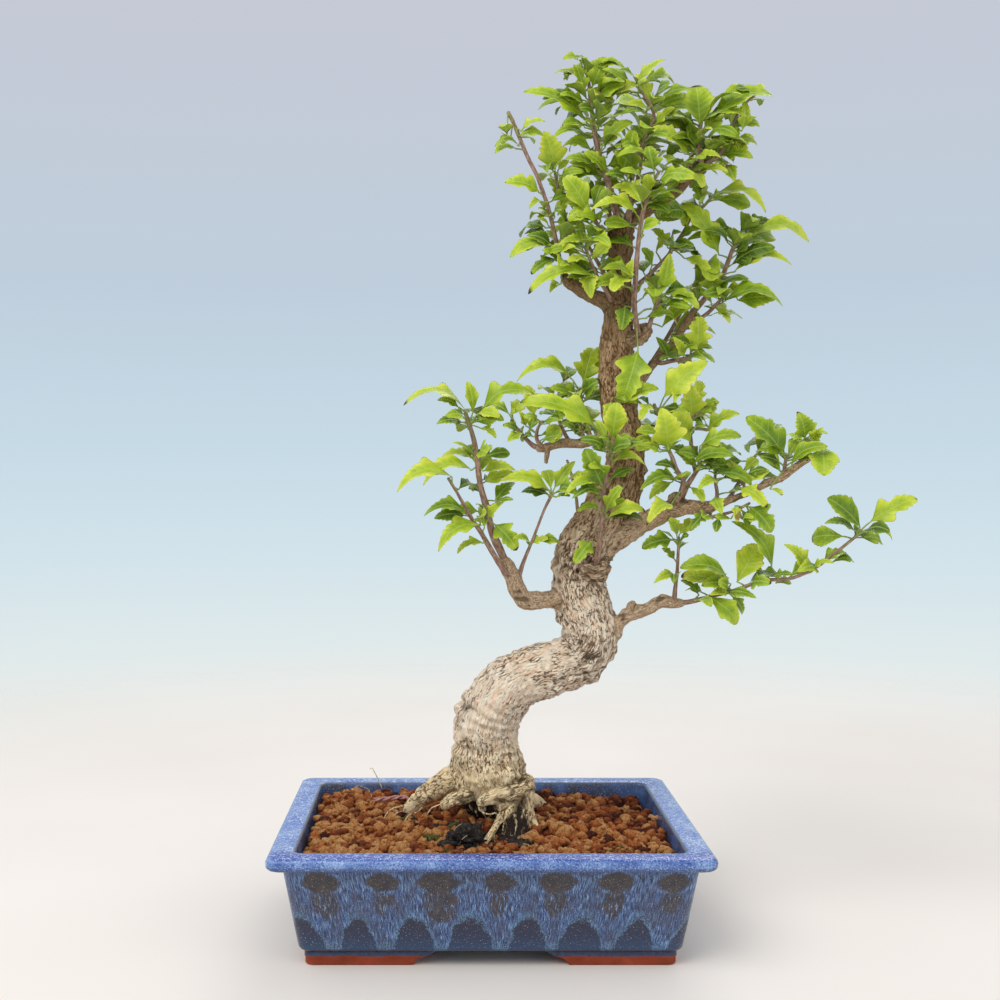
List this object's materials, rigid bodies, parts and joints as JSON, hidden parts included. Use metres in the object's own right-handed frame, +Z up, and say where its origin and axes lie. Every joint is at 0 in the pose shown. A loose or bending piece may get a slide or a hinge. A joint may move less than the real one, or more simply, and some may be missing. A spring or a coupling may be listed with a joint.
{
  "type": "rose of sharon bonsai",
  "caption": "Rose of sharon bonsai: an S-curved trunk on exposed roots with leafy shoots, in a blue glazed rectangular pot of clay granules.",
  "frame": {"origin": "under the middle of the whole object's box, on the surface that the pot's feet stand on", "axes": "+Z up the tree, -Y towards the front of the pot, +X along the pot to the side that the tree leans to"},
  "size_m": [0.3956, 0.194, 0.5534],
  "materials": {
    "glaze": "blue running glaze with navy arches, bare clay feet",
    "fired_clay": "matt crumbly granules",
    "peat": "matt, moist",
    "bark": "ridged, pale and flecked with dark furrows",
    "foliage": "soft satin leaf",
    "coated_wire": "pinkish coating",
    "netting": "moulded netting"
  },
  "bodies": {
    "root": {"pot": "glaze", "soil": "fired_clay", "peat_clod": "peat", "wood": "bark", "tie_wire": "coated_wire", "drainage_screen_left": "netting", "drainage_screen_right": "netting", "shoot_left_upright": "foliage", "shoot_left_outer": "foliage", "shoot_left_inner": "foliage", "twig_mid_left": "foliage", "spur_mid_left": "foliage", "spur_mid_left_top": "foliage", "twig_behind_trunk": "foliage", "shoot_front": "foliage", "spur_callus": "foliage", "spur_mid_right": "foliage", "twig_cut_right": "foliage", "twig_cut_left": "foliage", "twig_under_right": "foliage", "spur_over_right": "foliage", "spur_end_left": "foliage", "shoot_right_end": "foliage", "shoot_right_tip": "foliage", "shoot_low_right": "foliage", "twig_low_upright": "foliage", "shoot_upper_outer": "foliage", "spur_upper_cut": "foliage", "spur_upper_lower": "foliage", "twig_knob_upper": "foliage", "shoot_trunk_front": "foliage", "leaf_trunk_low": "foliage", "shoot_high_left": "foliage", "twig_high_left": "foliage", "shoot_inner_left": "foliage", "shoot_inner_high": "foliage", "shoot_leader": "foliage", "shoot_crown_mid": "foliage", "shoot_crown_right": "foliage", "shoot_crown_far": "foliage", "shoot_crown_low": "foliage", "twig_behind_right": "foliage", "far_crown_left": "foliage", "far_crown_middle": "foliage", "far_crown_right": "foliage", "far_upper_left": "foliage", "far_upper_right": "foliage", "far_mid_right": "foliage", "far_mid_end": "foliage", "far_mid_left": "foliage"}
  },
  "joints": []
}
